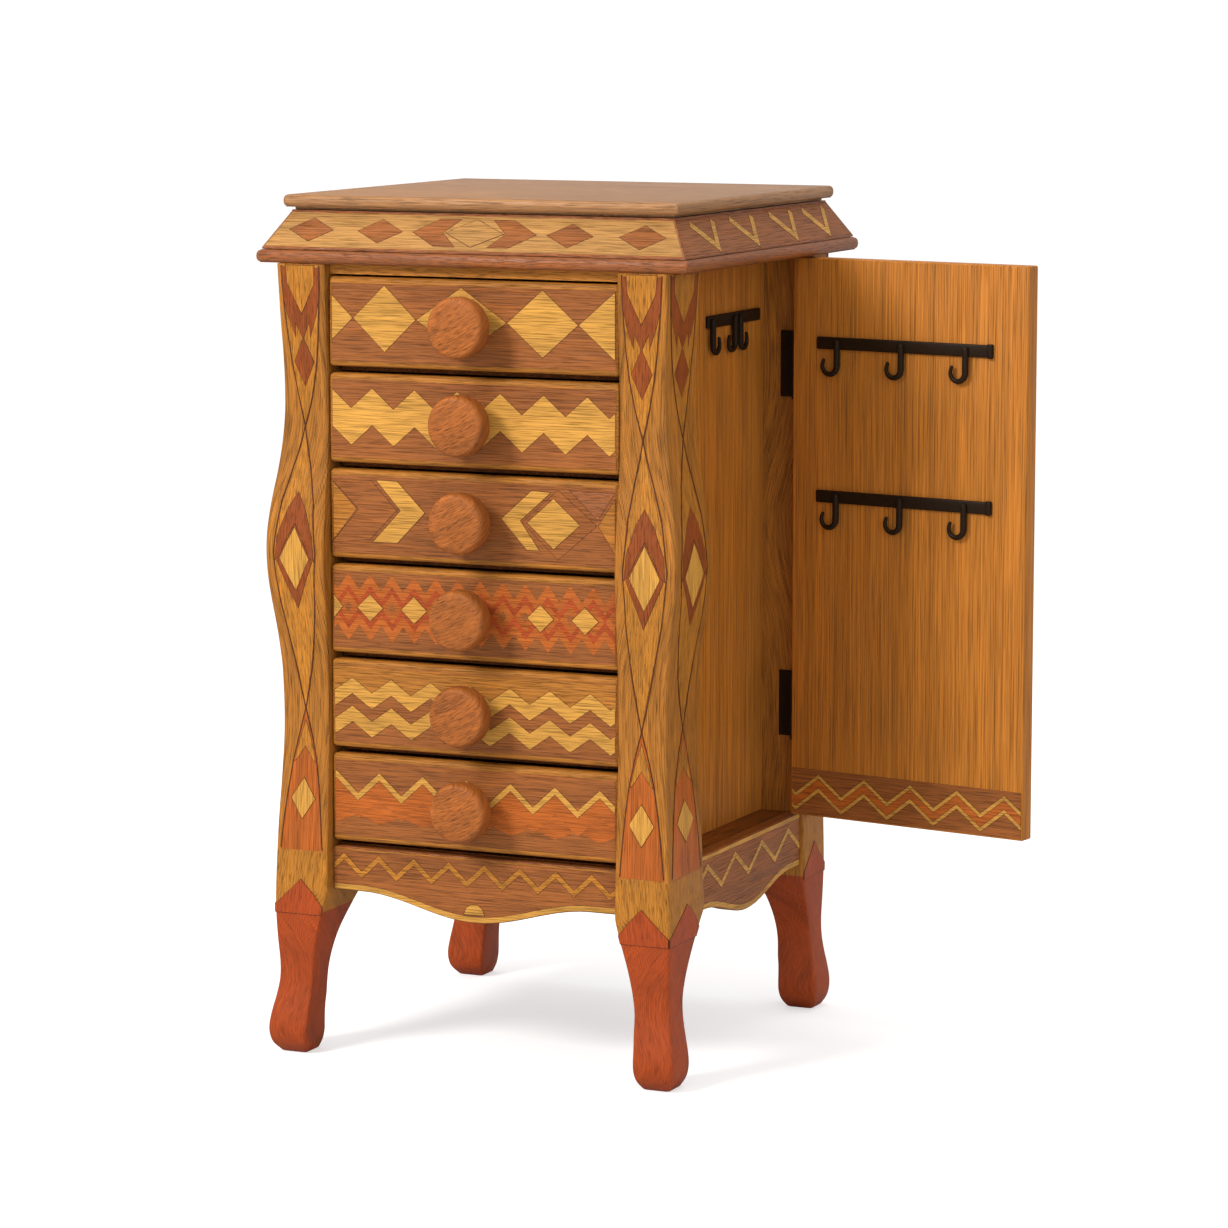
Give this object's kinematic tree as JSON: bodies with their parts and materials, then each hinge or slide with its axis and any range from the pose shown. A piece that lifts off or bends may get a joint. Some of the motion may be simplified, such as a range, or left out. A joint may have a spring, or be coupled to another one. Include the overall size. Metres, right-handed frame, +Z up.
{
  "type": "jewelry box",
  "caption": "Table-top jewelry chest on cabriole legs, with inlaid drawers, a lift-up lid over a tray, and hinged side doors that carry necklace hooks.",
  "frame": {"origin": "middle of the bounding box on the floor, with the right door open as at rest", "axes": "+X to the right as seen from the front, +Y to the back, +Z up"},
  "size_m": [0.3538, 0.2402, 0.43],
  "materials": {
    "marquetry_wood": "satin waxed inlaid veneers, golden, brown and terracotta",
    "brown_wood": "satin stained brown",
    "panel_wood": "satin, straight vertical grain",
    "drawer_wood": "plain sanded",
    "knob_wood": "satin turned",
    "black_iron": "blackened, slightly glossy",
    "velvet": "short pile velvet",
    "mirror": "silvered glass"
  },
  "bodies": {
    "chest": {"apron_front": "marquetry_wood", "apron_left": "marquetry_wood", "apron_right": "marquetry_wood", "back_panel": "panel_wood", "bottom_board": "brown_wood", "cornice": "brown_wood", "divider_1": "brown_wood", "divider_2": "brown_wood", "divider_3": "brown_wood", "divider_4": "brown_wood", "divider_5": "brown_wood", "frieze_frame": "marquetry_wood", "hinge_post_leaf_left_lower": "black_iron", "hinge_post_leaf_left_upper": "black_iron", "hinge_post_leaf_right_lower": "black_iron", "hinge_post_leaf_right_upper": "black_iron", "inner_panel_left": "panel_wood", "inner_panel_right": "panel_wood", "lid_hinge_frame_leaf": "black_iron", "post_front_left": "marquetry_wood", "post_front_right": "marquetry_wood", "post_rear_left": "marquetry_wood", "post_rear_right": "marquetry_wood", "recess_hooks_left": "black_iron", "recess_hooks_right": "black_iron", "ring_cushion": "velvet", "top_rail": "brown_wood"},
    "drawer_1": {"drawer_front_1": "marquetry_wood", "drawer_box_1": "drawer_wood", "drawer_knob_1": "knob_wood"},
    "drawer_2": {"drawer_front_2": "marquetry_wood", "drawer_box_2": "drawer_wood", "drawer_knob_2": "knob_wood"},
    "drawer_3": {"drawer_front_3": "marquetry_wood", "drawer_box_3": "drawer_wood", "drawer_knob_3": "knob_wood"},
    "drawer_4": {"drawer_front_4": "marquetry_wood", "drawer_box_4": "drawer_wood", "drawer_knob_4": "knob_wood"},
    "drawer_5": {"drawer_front_5": "marquetry_wood", "drawer_box_5": "drawer_wood", "drawer_knob_5": "knob_wood"},
    "drawer_6": {"drawer_front_6": "marquetry_wood", "drawer_box_6": "drawer_wood", "drawer_knob_6": "knob_wood"},
    "door_right": {"door_hooks_right_lower": "black_iron", "door_hooks_right_upper": "black_iron", "door_knob_right": "knob_wood", "door_right": "panel_wood", "hinge_door_leaf_right_lower": "black_iron", "hinge_door_leaf_right_upper": "black_iron"},
    "door_left": {"door_hooks_left_lower": "black_iron", "door_hooks_left_upper": "black_iron", "door_knob_left": "knob_wood", "door_left": "panel_wood", "hinge_door_leaf_left_lower": "black_iron", "hinge_door_leaf_left_upper": "black_iron"},
    "lid": {"lid_panel": "brown_wood", "lid_mirror": "mirror", "lid_hinge_lid_leaf": "black_iron"}
  },
  "joints": [
    {"name": "door_right_hinge", "type": "hinge", "parent": "chest", "child": "door_right", "pos_m": [0.0431, 0.07575, 0], "axis": [0, 0, 1], "range_deg": [-80, 30]},
    {"name": "door_left_hinge", "type": "hinge", "parent": "chest", "child": "door_left", "pos_m": [-0.1649, 0.07575, 0], "axis": [0, 0, -1], "range_deg": [0, 110]},
    {"name": "lid_hinge", "type": "hinge", "parent": "chest", "child": "lid", "pos_m": [-0.0609, 0.11055, 0.4234], "axis": [-1, 0, 0], "range_deg": [0, 100]},
    {"name": "drawer_1_slide", "type": "slide", "parent": "chest", "child": "drawer_1", "axis": [0, -1, 0], "range_m": [0, 0.115]},
    {"name": "drawer_2_slide", "type": "slide", "parent": "chest", "child": "drawer_2", "axis": [0, -1, 0], "range_m": [0, 0.115]},
    {"name": "drawer_3_slide", "type": "slide", "parent": "chest", "child": "drawer_3", "axis": [0, -1, 0], "range_m": [0, 0.115]},
    {"name": "drawer_4_slide", "type": "slide", "parent": "chest", "child": "drawer_4", "axis": [0, -1, 0], "range_m": [0, 0.115]},
    {"name": "drawer_5_slide", "type": "slide", "parent": "chest", "child": "drawer_5", "axis": [0, -1, 0], "range_m": [0, 0.115]},
    {"name": "drawer_6_slide", "type": "slide", "parent": "chest", "child": "drawer_6", "axis": [0, -1, 0], "range_m": [0, 0.115]}
  ]
}
